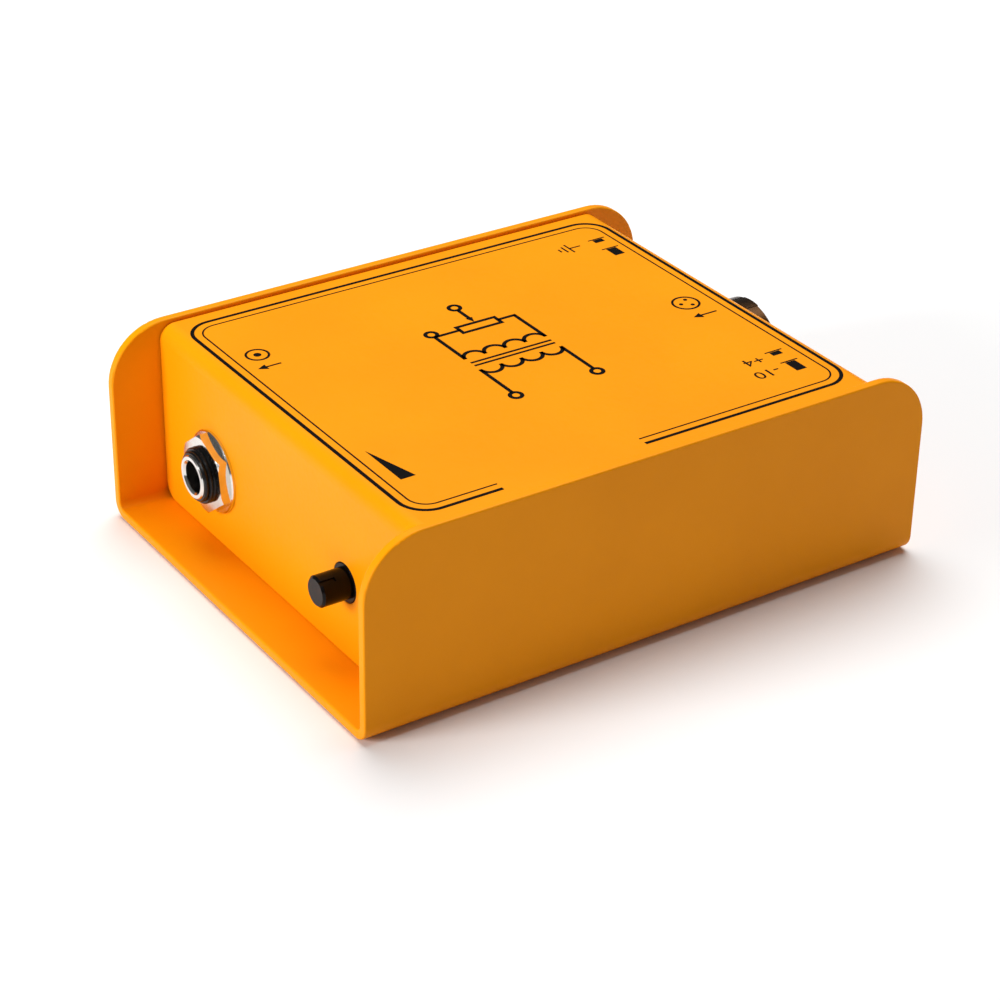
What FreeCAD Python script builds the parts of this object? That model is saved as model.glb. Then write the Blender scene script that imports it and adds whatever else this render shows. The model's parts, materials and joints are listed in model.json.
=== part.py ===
"""Re-amplification box: a passive audio box in bent sheet steel.

A U-shaped chassis (base and two cheeks) holds a bent cover (top, front panel and rear panel).
The front panel carries a 1/4 inch output jack and a level control, the rear panel a three-pin
line socket and two push switches. Everything electrical stands on one circuit board.

Frame: millimetres, origin at the middle of the underside, +X to the right seen from the front,
-Y out of the front panel, +Z up.
"""
import FreeCAD, Part
import os
import re
import Sketcher

doc = FreeCAD.newDocument("reamp_box")
sheet = doc.addObject("Spreadsheet::Sheet", "sizes")

SIZES = [
    ("Chassis", None),
    ("box_width", 100.0),
    ("box_depth", 130.0),
    ("box_height", 42.0),
    ("shell_sheet", 2.0),
    ("shell_bend", 3.5),
    ("cheek_corner", 12.5),
    ("edge_round", 0.4),
    ("Cover", None),
    ("cover_depth", 108.0),
    ("cover_top", 41.2),
    ("cover_sheet", 1.5),
    ("cover_bend", 3.4),
    ("cover_gap", 0.2),
    ("cover_foot_round", 3.6),
    ("cover_edge_round", 0.3),
    ("Brackets and screws", None),
    ("bracket_sheet", 1.5),
    ("bracket_reach", 11.0),
    ("bracket_height", 6.0),
    ("bracket_length", 84.0),
    ("screw_x", 36.0),
    ("screw_inset", 6.0),
    ("screw_radius", 1.5),
    ("screw_length", 6.5),
    ("screw_sunk", 0.1),
    ("head_radius", 2.9),
    ("recess_width", 0.9),
    ("recess_length", 3.2),
    ("recess_depth", 1.1),
    ("screw_hole_radius", 1.7),
    ("sink_diameter", 6.2),
    ("nut_radius", 2.6),
    ("nut_height", 2.0),
    ("Circuit board", None),
    ("board_width", 88.0),
    ("board_depth", 98.0),
    ("board_top", 9.5),
    ("board_sheet", 1.6),
    ("pin_radius", 0.45),
    ("tail_radius", 0.35),
    ("pin_hole_radius", 0.6),
    ("pin_below", 1.5),
    ("Output jack", None),
    ("jack_x", -26.0),
    ("jack_z", 18.0),
    ("jack_width", 16.0),
    ("jack_length", 28.0),
    ("jack_above", 8.0),
    ("bush_radius", 5.86),
    ("bush_thread_depth", 0.22),
    ("bush_thread_pitch", 0.8),
    ("bush_thread_end", 4.0),
    ("bush_length", 4.8),
    ("bush_nose_radius", 5.25),
    ("jack_hole_radius", 6.0),
    ("jack_bore_radius", 3.3),
    ("ferrule_radius", 4.6),
    ("ferrule_front", 5.2),
    ("ferrule_rear", 1.0),
    ("washer_radius", 8.7),
    ("washer_sheet", 0.8),
    ("hex_across_flats", 14.8),
    ("hex_height", 2.0),
    ("hex_turn", 38.0),
    ("contact_sheet", 0.4),
    ("contact_width", 3.0),
    ("Level control", None),
    ("pot_x", 24.85),
    ("pot_z", 18.3),
    ("pot_case_radius", 8.0),
    ("pot_case_depth", 9.0),
    ("pot_wall", 1.0),
    ("pot_bush_radius", 4.05),
    ("pot_bush_front", 0.1),
    ("pot_hole_radius", 4.15),
    ("shaft_radius", 3.175),
    ("journal_radius", 3.0),
    ("shaft_clearance", 0.07),
    ("shaft_front", 6.4),
    ("shaft_chamfer", 0.45),
    ("pointer_width", 0.9),
    ("pointer_depth", 0.4),
    ("pointer_length", 3.4),
    ("pointer_turn", 32.0),
    ("Line socket", None),
    ("socket_z", 26.5),
    ("barrel_radius", 11.0),
    ("barrel_bore_radius", 9.6),
    ("barrel_length", 6.4),
    ("barrel_lip_round", 0.5),
    ("socket_hole_radius", 11.15),
    ("flange_width", 38.0),
    ("flange_height", 22.4),
    ("flange_sheet", 2.5),
    ("housing_width", 24.0),
    ("housing_depth", 15.0),
    ("socket_screw_x", 15.5),
    ("socket_screw_head", 2.7),
    ("insert_radius", 7.6),
    ("insert_front", 5.9),
    ("contact_ring_radius", 4.7),
    ("contact_bore_radius", 1.25),
    ("contact_radius", 1.55),
    ("contact_length", 12.0),
    ("contact_spread", 18.0),
    ("latch_width", 4.6),
    ("latch_low", 9.65),
    ("latch_sheet", 0.9),
    ("latch_hook", 1.0),
    ("latch_tab_low", 10.3),
    ("latch_pivot_y", 0.6),
    ("latch_pivot_z", 10.15),
    ("latch_eye_radius", 0.55),
    ("latch_pin_radius", 0.3),
    ("latch_pin_length", 7.0),
    ("Push switches", None),
    ("switch_x", 31.0),
    ("switch_z", 14.0),
    ("switch_width", 8.5),
    ("switch_length", 12.0),
    ("switch_setback", 6.0),
    ("button_radius", 3.0),
    ("button_front", 5.5),
    ("button_rear", 1.0),
    ("button_round", 0.5),
    ("button_hole_radius", 3.5),
    ("plunger_side", 3.0),
    ("plunger_gap", 0.15),
    ("button_travel", 2.5),
    ("switch_pitch", 2.5),
    ("spring_wire", 0.25),
    ("Transformer", None),
    ("core_x", 4.0),
    ("core_y", -8.0),
    ("core_width", 30.0),
    ("core_height", 22.0),
    ("core_stack", 12.0),
    ("core_limb", 5.0),
    ("core_stand", 3.0),
    ("bobbin_wall", 0.9),
    ("bobbin_play", 0.15),
    ("winding_build", 3.4),
    ("Small parts", None),
    ("resistor_radius", 1.2),
    ("resistor_length", 6.5),
    ("resistor_pitch", 10.16),
    ("resistor_x", -34.0),
    ("resistor_y", 4.0),
    ("resistor_row", 6.0),
    ("lead_radius", 0.3),
    ("capacitor_length", 7.2),
    ("capacitor_width", 3.0),
    ("capacitor_height", 7.5),
    ("capacitor_pitch", 5.0),
    ("capacitor_x", 32.0),
    ("capacitor_y", 2.0),
    ("capacitor_row", 8.0),
]
for row, (alias, number) in enumerate(SIZES, start=1):
    sheet.set(f"A{row}", alias)
    if number is not None:
        sheet.set(f"B{row}", str(number))
        sheet.setAlias(f"B{row}", alias)
doc.recompute()

V = FreeCAD.Vector
nodes = []


# ---- Helpers: every text such as "box_width / 2" is an expression in the sheet's names ----

def bound(text):
    """The expression with each name looked up in the sheet."""
    return re.sub(r"\b[a-z]\w*\b(?!\()", lambda name: "sizes." + name.group(), str(text))


def size(text):
    """The expression's present value."""
    return float(sheet.evalExpression(bound(text)))


def bind(item, **properties):
    for name, text in properties.items():
        item.setExpression(name, bound(text))


def place(item, x="0", y="0", z="0"):
    for axis, text in zip("xyz", (x, y, z)):
        item.setExpression("Placement.Base." + axis, bound(text))


def node(item, label):
    """Mark a finished piece: its label names its file."""
    item.Label = label
    nodes.append(item)
    return item


def new_body(name):
    return doc.addObject("PartDesign::Body", name + "_body")


def new_sketch(body, plane, offset="0"):
    sketch = body.newObject("Sketcher::SketchObject", "sketch")
    support = next(f for f in body.Origin.OriginFeatures if f.Role == plane)
    sketch.AttachmentSupport = (support, "")
    sketch.MapMode = "FlatFace"
    sketch.setExpression("AttachmentOffset.Base.z", bound(offset))
    return sketch


def fix(sketch, kind, geometry, point, text):
    """Hold a point's distance from the sketch's origin at the expression's value."""
    index = sketch.addConstraint(Sketcher.Constraint(kind, -1, 1, geometry, point, size(text)))
    sketch.setExpression(f"Constraints[{index}]", bound(text))


def circle(sketch, x, y, radius):
    circle_shape = Part.Circle(V(size(x), size(y), 0), V(0, 0, 1), size(radius))
    index = sketch.addGeometry(circle_shape, False)
    fix(sketch, "DistanceX", index, 3, x)
    fix(sketch, "DistanceY", index, 3, y)
    dimension = sketch.addConstraint(Sketcher.Constraint("Radius", index, size(radius)))
    sketch.setExpression(f"Constraints[{dimension}]", bound(radius))


def polygon(sketch, corners):
    spots = [V(size(x), size(y), 0) for x, y in corners]
    first = sketch.GeometryCount
    for start, end in zip(spots, spots[1:] + spots[:1]):
        sketch.addGeometry(Part.LineSegment(start, end), False)
    for step, (x, y) in enumerate(corners):
        line = first + step
        before = first + (step - 1) % len(corners)
        sketch.addConstraint(Sketcher.Constraint("Coincident", before, 2, line, 1))
        fix(sketch, "DistanceX", line, 1, x)
        fix(sketch, "DistanceY", line, 1, y)


def rectangle(sketch, x_low, x_high, y_low, y_high):
    polygon(sketch, [(x_low, y_low), (x_high, y_low), (x_high, y_high), (x_low, y_high)])


def pad(body, sketch, length, symmetric=False, backwards=False):
    feature = body.newObject("PartDesign::Pad", "pad")
    feature.Profile = (sketch, [""])
    feature.SideType = "Symmetric" if symmetric else "One side"
    feature.Reversed = backwards
    bind(feature, Length=length)
    doc.recompute()
    return feature


def pocket(body, sketch, depth, backwards=False):
    """A pocket, with a test that it has cut something."""
    before = body.Shape.Volume
    feature = body.newObject("PartDesign::Pocket", "pocket")
    feature.Profile = (sketch, [""])
    feature.Reversed = backwards
    bind(feature, Length=depth)
    doc.recompute()
    if body.Shape.Volume > before - 1e-3:
        raise RuntimeError(f"{body.Name}: a pocket cuts nothing")
    return feature


def turned(body, outline, groove=False):
    """Turn an outline of (radius, place along Y) about the Y axis: solid, or cut away."""
    sketch = new_sketch(body, "XY_Plane")
    polygon(sketch, outline)
    kind = "PartDesign::Groove" if groove else "PartDesign::Revolution"
    feature = body.newObject(kind, "turned")
    feature.Profile = (sketch, [""])
    feature.ReferenceAxis = (sketch, ["V_Axis"])
    feature.Angle = 360
    doc.recompute()
    return feature


def fillet(body, radius, wanted):
    """Round the edges of the body's shape so far that the test picks out."""
    base = body.Tip
    names = [f"Edge{i}" for i, edge in enumerate(base.Shape.Edges, start=1) if wanted(edge)]
    feature = body.newObject("PartDesign::Fillet", "fillet")
    feature.Base = (base, names)
    bind(feature, Radius=radius)
    doc.recompute()
    return feature


def along(edge, axis):
    """Whether a straight edge runs along the axis."""
    if not isinstance(edge.Curve, Part.Line):
        return False
    return abs(abs(edge.Curve.Direction.dot(axis)) - 1) < 1e-6


def near(number, target):
    return abs(number - target) < 0.01


X_AXIS = V(1, 0, 0)
Y_AXIS = V(0, 1, 0)
Z_AXIS = V(0, 0, 1)


def block(name, x_low, x_high, y_low, y_high, z_low, z_high):
    """A box between two opposite corners."""
    item = doc.addObject("Part::Box", name)
    bind(item, Length=f"({x_high}) - ({x_low})")
    bind(item, Width=f"({y_high}) - ({y_low})")
    bind(item, Height=f"({z_high}) - ({z_low})")
    place(item, x_low, y_low, z_low)
    return item


UPRIGHT = FreeCAD.Rotation()
FACING_BACK = FreeCAD.Rotation(X_AXIS, -90)
FACING_RIGHT = FreeCAD.Rotation(Y_AXIS, 90)


def rod(name, radius, length, x, y, z, turn=UPRIGHT):
    """A cylinder that starts at a point and runs up, back (+Y) or right (+X)."""
    item = doc.addObject("Part::Cylinder", name)
    item.Placement = FreeCAD.Placement(V(0, 0, 0), turn)
    bind(item, Radius=radius, Height=length)
    place(item, x, y, z)
    return item


def cut(name, base, tool):
    item = doc.addObject("Part::Cut", name)
    item.Base = base
    item.Tool = tool
    return item


def fused(name, pieces):
    item = doc.addObject("Part::MultiFuse", name)
    item.Shapes = pieces
    return item


def group(name, pieces):
    """Several separate solids that make one node."""
    item = doc.addObject("Part::Compound", name)
    item.Links = pieces
    return item


def mirrored(name, source, normal):
    item = doc.addObject("Part::Mirroring", name)
    item.Source = source
    item.Normal = normal
    return item


def four_corners(name, source):
    """The source, which stands at +X and -Y, and its three mirror images."""
    pair = group(name + "_pair", [source, mirrored(name + "_left", source, X_AXIS)])
    return group(name + "_four", [pair, mirrored(name + "_rear", pair, Y_AXIS)])


def pins(label, places):
    """Solder pins that reach from a part's underside down through the board."""
    body = new_body(label)
    sketch = new_sketch(body, "XY_Plane", "board_top - board_sheet - pin_below")
    for x, y in places:
        circle(sketch, x, y, "pin_radius")
    pad(body, sketch, "board_sheet + pin_below")
    return node(body, label)


# ---- Chassis ----

def make_chassis():
    body = new_body("chassis")
    sketch = new_sketch(body, "XZ_Plane")
    polygon(sketch, [
        ("-box_width / 2", "0"),
        ("box_width / 2", "0"),
        ("box_width / 2", "box_height"),
        ("box_width / 2 - shell_sheet", "box_height"),
        ("box_width / 2 - shell_sheet", "shell_sheet"),
        ("shell_sheet - box_width / 2", "shell_sheet"),
        ("shell_sheet - box_width / 2", "box_height"),
        ("-box_width / 2", "box_height"),
    ])
    pad(body, sketch, "box_depth", symmetric=True)
    middle_x = size("box_width / 2")
    top = size("box_height")
    end = size("box_depth / 2")
    sheet_size = size("shell_sheet")
    fillet(body, "shell_bend", lambda e: along(e, Y_AXIS) and near(e.CenterOfMass.z, 0))
    fillet(
        body, "shell_bend - shell_sheet",
        lambda e: along(e, Y_AXIS) and near(e.CenterOfMass.z, sheet_size)
        and near(abs(e.CenterOfMass.x), middle_x - sheet_size),
    )
    fillet(
        body, "cheek_corner",
        lambda e: along(e, X_AXIS) and near(e.CenterOfMass.z, top)
        and near(abs(e.CenterOfMass.y), end),
    )
    fillet(
        body, "edge_round",
        lambda e: not (along(e, X_AXIS) and near(e.Length, sheet_size))
        and not (along(e, Y_AXIS) and e.CenterOfMass.z < top - 1),
    )
    holes = new_sketch(body, "XY_Plane")
    for side_x in ("screw_x", "-screw_x"):
        for side_y in ("cover_depth / 2 - screw_inset", "screw_inset - cover_depth / 2"):
            circle(holes, side_x, side_y, "screw_hole_radius")
    doc.recompute()
    before = body.Shape.Volume
    drill = body.newObject("PartDesign::Hole", "screw_holes")
    drill.Profile = (holes, [""])
    drill.DepthType = "ThroughAll"
    drill.HoleCutType = "Countersink"
    drill.HoleCutCustomValues = True
    drill.HoleCutCountersinkAngle = 90
    drill.Reversed = True
    bind(drill, Diameter="screw_hole_radius * 2", HoleCutDiameter="sink_diameter")
    doc.recompute()
    if body.Shape.Volume > before - 1:
        raise RuntimeError("the screw holes cut nothing")
    return node(body, "chassis")


# ---- Cover ----

def make_cover():
    body = new_body("cover")
    sketch = new_sketch(body, "YZ_Plane")
    polygon(sketch, [
        ("-cover_depth / 2", "shell_sheet"),
        ("-cover_depth / 2", "cover_top"),
        ("cover_depth / 2", "cover_top"),
        ("cover_depth / 2", "shell_sheet"),
        ("cover_depth / 2 - cover_sheet", "shell_sheet"),
        ("cover_depth / 2 - cover_sheet", "cover_top - cover_sheet"),
        ("cover_sheet - cover_depth / 2", "cover_top - cover_sheet"),
        ("cover_sheet - cover_depth / 2", "shell_sheet"),
    ])
    width = "box_width - 2 * shell_sheet - 2 * cover_gap"
    pad(body, sketch, width, symmetric=True)
    half_width = size(width) / 2
    top = size("cover_top")
    foot = size("shell_sheet")
    half_depth = size("cover_depth / 2")
    sheet_size = size("cover_sheet")
    fillet(body, "cover_bend", lambda e: along(e, X_AXIS) and near(e.CenterOfMass.z, top))
    fillet(
        body, "cover_bend - cover_sheet",
        lambda e: along(e, X_AXIS) and near(e.CenterOfMass.z, top - sheet_size),
    )
    fillet(
        body, "cover_foot_round",
        lambda e: along(e, Y_AXIS) and near(e.CenterOfMass.z, foot)
        and near(abs(e.CenterOfMass.x), half_width),
    )
    fillet(
        body, "cover_edge_round",
        lambda e: near(abs(e.CenterOfMass.x), half_width)
        and (near(e.CenterOfMass.z, top) or near(abs(e.CenterOfMass.y), half_depth)
             or (not along(e, Y_AXIS) and not along(e, Z_AXIS)
                 and abs(e.CenterOfMass.y) > half_depth - sheet_size
                 and e.CenterOfMass.z > top - 2 * sheet_size)),
    )
    front = new_sketch(body, "XZ_Plane", "cover_depth / 2")
    circle(front, "jack_x", "jack_z", "jack_hole_radius")
    circle(front, "pot_x", "pot_z", "pot_hole_radius")
    pocket(body, front, "cover_sheet")
    rear = new_sketch(body, "XZ_Plane", "-cover_depth / 2")
    circle(rear, "0", "socket_z", "socket_hole_radius")
    for side in ("-1", "1"):
        circle(rear, f"{side} * socket_screw_x", "socket_z", "screw_hole_radius")
        circle(rear, f"{side} * switch_x", "switch_z", "button_hole_radius")
    pocket(body, rear, "cover_sheet", backwards=True)
    return node(body, "top_cover")


# ---- Brackets, nuts and screws that hold the cover to the chassis ----

def make_bracket():
    """The front bracket: one leg on the base, one against the front panel."""
    body = new_body("bracket")
    sketch = new_sketch(body, "YZ_Plane")
    panel = "cover_sheet - cover_depth / 2"
    polygon(sketch, [
        (panel, "shell_sheet"),
        (f"{panel} + bracket_reach", "shell_sheet"),
        (f"{panel} + bracket_reach", "shell_sheet + bracket_sheet"),
        (f"{panel} + bracket_sheet", "shell_sheet + bracket_sheet"),
        (f"{panel} + bracket_sheet", "shell_sheet + bracket_height"),
        (panel, "shell_sheet + bracket_height"),
    ])
    pad(body, sketch, "bracket_length", symmetric=True)
    holes = new_sketch(body, "XY_Plane", "shell_sheet")
    for side in ("-1", "1"):
        circle(holes, f"{side} * screw_x", "screw_inset - cover_depth / 2", "screw_hole_radius")
    pocket(body, holes, "bracket_sheet", backwards=True)
    return body


def make_brackets():
    front = make_bracket()
    rear = mirrored("bracket_mirror", front, Y_AXIS)
    node(front, "front_bracket")
    node(rear, "rear_bracket")


def make_bracket_nut():
    body = new_body("bracket_nut")
    sketch = new_sketch(body, "XY_Plane", "shell_sheet + bracket_sheet")
    circle(sketch, "screw_x", "screw_inset - cover_depth / 2", "nut_radius")
    circle(sketch, "screw_x", "screw_inset - cover_depth / 2", "screw_radius")
    pad(body, sketch, "nut_height")
    return node(four_corners("bracket_nut", body), "bracket_nuts")


def cross(sketch, length, width):
    """The outline of a cross recess."""
    arm = f"{length} / 2"
    half = f"{width} / 2"
    corners = [(arm, f"-{half}"), (arm, half), (half, half), (half, arm)]
    corners += [(f"-{half}", arm), (f"-{half}", half), (f"-{arm}", half)]
    corners += [(f"-{arm}", f"-{half}"), (f"-{half}", f"-{half}"), (f"-{half}", f"-{arm}")]
    corners += [(half, f"-{arm}"), (half, f"-{half}")]
    polygon(sketch, corners)


def make_cover_screws():
    body = new_body("cover_screw")
    sketch = new_sketch(body, "XZ_Plane")
    polygon(sketch, [
        ("0", "screw_sunk"),
        ("head_radius", "screw_sunk"),
        ("screw_radius", "screw_sunk + head_radius - screw_radius"),
        ("screw_radius", "screw_length - 0.4"),
        ("screw_radius - 0.4", "screw_length"),
        ("0", "screw_length"),
    ])
    turn = body.newObject("PartDesign::Revolution", "screw_turn")
    turn.Profile = (sketch, [""])
    turn.ReferenceAxis = (sketch, ["V_Axis"])
    turn.Angle = 360
    recess = new_sketch(body, "XY_Plane", "screw_sunk")
    cross(recess, "recess_length", "recess_width")
    doc.recompute()
    pocket(body, recess, "recess_depth", backwards=True)
    place(body, "screw_x", "screw_inset - cover_depth / 2", "0")
    return node(four_corners("cover_screw", body), "cover_screws")


# ---- Circuit board, with a hole for every pin ----

def pin_places():
    """Where each part's solder pins stand on the board."""
    front = "-cover_depth / 2"
    rear = "cover_depth / 2"
    switch_row = f"{rear} - switch_setback - switch_length / 2"
    places = {
        "jack_tip": [("jack_x", f"{front} + cover_sheet + jack_length - 3.2")],
        "jack_sleeve": [("jack_x + 4.5", f"{front} + cover_sheet + 7")],
        "pot": [(f"pot_x + {step} * 4.8", f"{front} + cover_sheet + pot_case_depth + 1.6")
                for step in (-1, 0, 1)],
        "socket": [(f"{step} * contact_ring_radius * cos(contact_spread)",
                    f"{rear} - cover_sheet - housing_depth - 2") for step in (-1, 0, 1)],
        "transformer": [(f"core_x + {column} * 5", f"core_y + {side} * (core_stack / 2 + 4.5)")
                        for column in (-2, -1, 0, 1, 2) for side in (-1, 1)],
        "resistor": [(f"resistor_x + {end} * resistor_pitch", f"resistor_y + {row} * resistor_row")
                     for row in range(4) for end in (0, 1)],
        "capacitor": [(f"capacitor_x + {end} * capacitor_pitch / 2",
                       f"capacitor_y + {row} * capacitor_row")
                      for row in range(2) for end in (-1, 1)],
    }
    for side, name in ((-1, "ground_switch"), (1, "level_switch")):
        places[name] = [
            (f"{side} * switch_x + {column} * switch_pitch", f"{switch_row} + {row} * 4")
            for column in (-1, 0, 1) for row in (-1, 1)
        ]
    return places


PLACES = pin_places()


def make_board():
    body = new_body("board")
    sketch = new_sketch(body, "XY_Plane", "board_top")
    rectangle(sketch, "-board_width / 2", "board_width / 2", "-board_depth / 2", "board_depth / 2")
    pad(body, sketch, "board_sheet", backwards=True)
    holes = new_sketch(body, "XY_Plane", "board_top")
    for spots in PLACES.values():
        for x, y in spots:
            circle(holes, x, y, "pin_hole_radius")
    doc.recompute()
    pocket(body, holes, "board_sheet")
    return node(body, "circuit_board")


# ---- Output jack: local Y is 0 on the front panel's outer face, and -Y points out ----

def at_jack(item):
    place(item, "jack_x", "-cover_depth / 2", "jack_z")
    return item


def make_jack_body():
    body = new_body("jack")
    case = new_sketch(body, "XZ_Plane", "-cover_sheet")
    rectangle(case, "-jack_width / 2", "jack_width / 2", "board_top - jack_z", "jack_above")
    pad(body, case, "jack_length", backwards=True)
    threads = int(size("bush_thread_end / bush_thread_pitch"))
    root = "bush_radius - bush_thread_depth"
    outline = [("0", "cover_sheet"), (root, "cover_sheet")]
    for turn in range(threads):
        outline.append((root, f"-{turn} * bush_thread_pitch"))
        outline.append(("bush_radius", f"-({turn} + 0.3) * bush_thread_pitch"))
        outline.append(("bush_radius", f"-({turn} + 0.7) * bush_thread_pitch"))
    outline.append((root, "-bush_thread_end"))
    outline.append(("bush_nose_radius", "-bush_thread_end"))
    outline.append(("bush_nose_radius", "0.3 - bush_length"))
    outline.append(("bush_nose_radius - 0.3", "-bush_length"))
    outline.append(("0", "-bush_length"))
    turned(body, outline)
    turned(body, [
        ("0", "-bush_length"),
        ("ferrule_radius", "-bush_length"),
        ("ferrule_radius", "ferrule_rear"),
        ("jack_bore_radius", "ferrule_rear"),
        ("jack_bore_radius", "cover_sheet + 3.5"),
        ("0", "cover_sheet + 3.5"),
    ], groove=True)
    chamber = new_sketch(body, "XY_Plane", "board_top - jack_z")
    rectangle(chamber, "1.8 - jack_width / 2", "jack_width / 2 - 1.8",
              "cover_sheet + 3", "cover_sheet + jack_length - 1.5")
    pocket(body, chamber, "jack_z - board_top + jack_above - 1.5", backwards=True)
    at_jack(body)
    return node(body, "jack_body")


def make_jack_ferrule():
    body = new_body("ferrule")
    turned(body, [
        ("jack_bore_radius", "ferrule_rear"),
        ("ferrule_radius", "ferrule_rear"),
        ("ferrule_radius", "0.25 - ferrule_front"),
        ("ferrule_radius - 0.25", "-ferrule_front"),
        ("jack_bore_radius + 0.35", "-ferrule_front"),
        ("jack_bore_radius", "0.45 - ferrule_front"),
    ])
    at_jack(body)
    return node(body, "jack_ferrule")


def make_jack_washer():
    body = new_body("washer")
    turned(body, [
        ("jack_hole_radius", "0"),
        ("washer_radius", "0"),
        ("washer_radius", "0.25 - washer_sheet"),
        ("washer_radius - 0.25", "-washer_sheet"),
        ("jack_hole_radius", "-washer_sheet"),
    ])
    at_jack(body)
    return node(body, "jack_washer")


def make_jack_nut():
    body = new_body("hex")
    sketch = new_sketch(body, "XZ_Plane", "washer_sheet")
    corners = []
    for corner in range(6):
        angle = f"(hex_turn + {corner} * 60)"
        reach = "hex_across_flats / sqrt(3)"
        corners.append((f"{reach} * cos({angle})", f"{reach} * sin({angle})"))
    polygon(sketch, corners)
    circle(sketch, "0", "0", "jack_hole_radius - 0.1")
    pad(body, sketch, "hex_height")
    turned(body, [
        ("hex_across_flats / 2 + 0.5", "-washer_sheet - hex_height"),
        ("hex_across_flats / 2 + 2", "-washer_sheet - hex_height"),
        ("hex_across_flats / 2 + 2", "-washer_sheet - hex_height + 0.9"),
    ], groove=True)
    at_jack(body)
    return node(body, "jack_nut")


def strip(label, path, width, x, y, z):
    """A contact bent from strip: the path in (y, z) is its middle line, at local places."""
    half = size("contact_sheet / 2")
    side = X_AXIS * (-size(width) / 2)
    spots = [V(0, a, b) for a, b in path]
    left, right = [], []
    for step, spot in enumerate(spots):
        before = spots[max(step - 1, 0)]
        after = spots[min(step + 1, len(spots) - 1)]
        run_in = (spot - before if step else after - spot).normalize()
        run_out = (after - spot if step < len(spots) - 1 else spot - before).normalize()
        across = (X_AXIS.cross(run_in) + X_AXIS.cross(run_out)).normalize()
        reach = half / across.dot(X_AXIS.cross(run_in))
        left.append(spot + across * reach + side)
        right.append(spot - across * reach + side)
    outline = Part.makePolygon(left + right[::-1] + left[:1])
    item = doc.addObject("Part::Feature", label)
    item.Shape = Part.Face(outline).extrude(side * -2)
    place(item, x, y, z)
    return item


def jack_contact(name, path, x):
    """A contact: a narrow tail through the board, then the wide spring."""
    spot = (x, "-cover_depth / 2", "jack_z")
    tail = strip(name + "_tail", path[:2], "2 * pin_radius", *spot)
    spring = strip(name + "_spring", path[1:], "contact_width", *spot)
    return fused(name, [tail, spring])


def make_jack_contacts():
    floor = size("board_top - jack_z")
    low = size("board_top - board_sheet - pin_below - jack_z")
    rear = size("cover_sheet + jack_length - 3.2")
    tip_path = [(rear, low), (rear, floor + 1), (rear, 5.2), (rear - 3, 5.6)]
    tip_path += [(rear - 6.5, 2.2), (rear - 9.5, 5.2)]
    node(jack_contact("jack_tip", tip_path, "jack_x"), "jack_tip_contact")
    front = size("cover_sheet + 7")
    sleeve_path = [(front, low), (front, floor + 1), (front, floor + 2.5)]
    sleeve_path += [(front + 2, floor + 4), (front + 2, -0.5)]
    node(jack_contact("jack_sleeve", sleeve_path, "jack_x + 4.5"), "jack_sleeve_contact")


# ---- Level control: local Y is 0 on the front panel's outer face, and -Y points out ----

def at_pot(item):
    place(item, "pot_x", "-cover_depth / 2", "pot_z")
    return item


def at_rest_turn(item):
    """Turn a moving piece of the control so that its pointer stands right of straight up."""
    item.Placement = FreeCAD.Placement(V(0, 0, 0), FreeCAD.Rotation(Y_AXIS, 1))
    item.setExpression("Placement.Rotation.Angle", bound("pointer_turn"))
    return at_pot(item)


def make_pot_case():
    body = new_body("pot_case")
    foot = new_sketch(body, "XZ_Plane", "-cover_sheet")
    rectangle(foot, "-6.5", "6.5", "board_top - pot_z", "0")
    pad(body, foot, "pot_case_depth", backwards=True)
    turned(body, [
        ("0", "cover_sheet"),
        ("pot_case_radius - 0.4", "cover_sheet"),
        ("pot_case_radius", "cover_sheet + 0.4"),
        ("pot_case_radius", "cover_sheet + pot_case_depth"),
        ("0", "cover_sheet + pot_case_depth"),
    ])
    turned(body, [
        ("0", "cover_sheet + pot_wall"),
        ("pot_case_radius - pot_wall", "cover_sheet + pot_wall"),
        ("pot_case_radius - pot_wall", "cover_sheet + pot_case_depth"),
        ("0", "cover_sheet + pot_case_depth"),
    ], groove=True)
    turned(body, [
        ("0", "cover_sheet"),
        ("pot_bush_radius", "cover_sheet"),
        ("pot_bush_radius", "cover_sheet + pot_wall"),
        ("0", "cover_sheet + pot_wall"),
    ], groove=True)
    at_pot(body)
    return node(body, "pot_case")


def make_pot_bush():
    body = new_body("pot_bush")
    bore = "journal_radius + shaft_clearance"
    turned(body, [
        (bore, "0.15 - pot_bush_front"),
        (f"{bore} + 0.15", "-pot_bush_front"),
        ("pot_bush_radius - 0.15", "-pot_bush_front"),
        ("pot_bush_radius", "0.15 - pot_bush_front"),
        ("pot_bush_radius", "cover_sheet + pot_wall"),
        ("pot_bush_radius + 1", "cover_sheet + pot_wall"),
        ("pot_bush_radius + 1", "cover_sheet + pot_wall + 0.8"),
        (bore, "cover_sheet + pot_wall + 0.8"),
    ])
    at_pot(body)
    return node(body, "pot_bush")


def make_pot_shaft():
    body = new_body("pot_shaft")
    turned(body, [
        ("0", "-shaft_front"),
        ("shaft_radius - shaft_chamfer", "-shaft_front"),
        ("shaft_radius", "shaft_chamfer - shaft_front"),
        ("shaft_radius", "-pot_bush_front - 0.1"),
        ("journal_radius", "-pot_bush_front - 0.1"),
        ("journal_radius", "cover_sheet + 3"),
        ("shaft_radius - 1", "cover_sheet + 3"),
        ("shaft_radius - 1", "cover_sheet + pot_case_depth - 1.6"),
        ("0", "cover_sheet + pot_case_depth - 1.6"),
    ])
    pointer = new_sketch(body, "XZ_Plane", "shaft_front")
    rectangle(pointer, "-pointer_width / 2", "pointer_width / 2",
              "shaft_radius - pointer_depth", "shaft_radius + 1")
    pocket(body, pointer, "pointer_length")
    return node(at_rest_turn(body), "pot_shaft")


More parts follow.
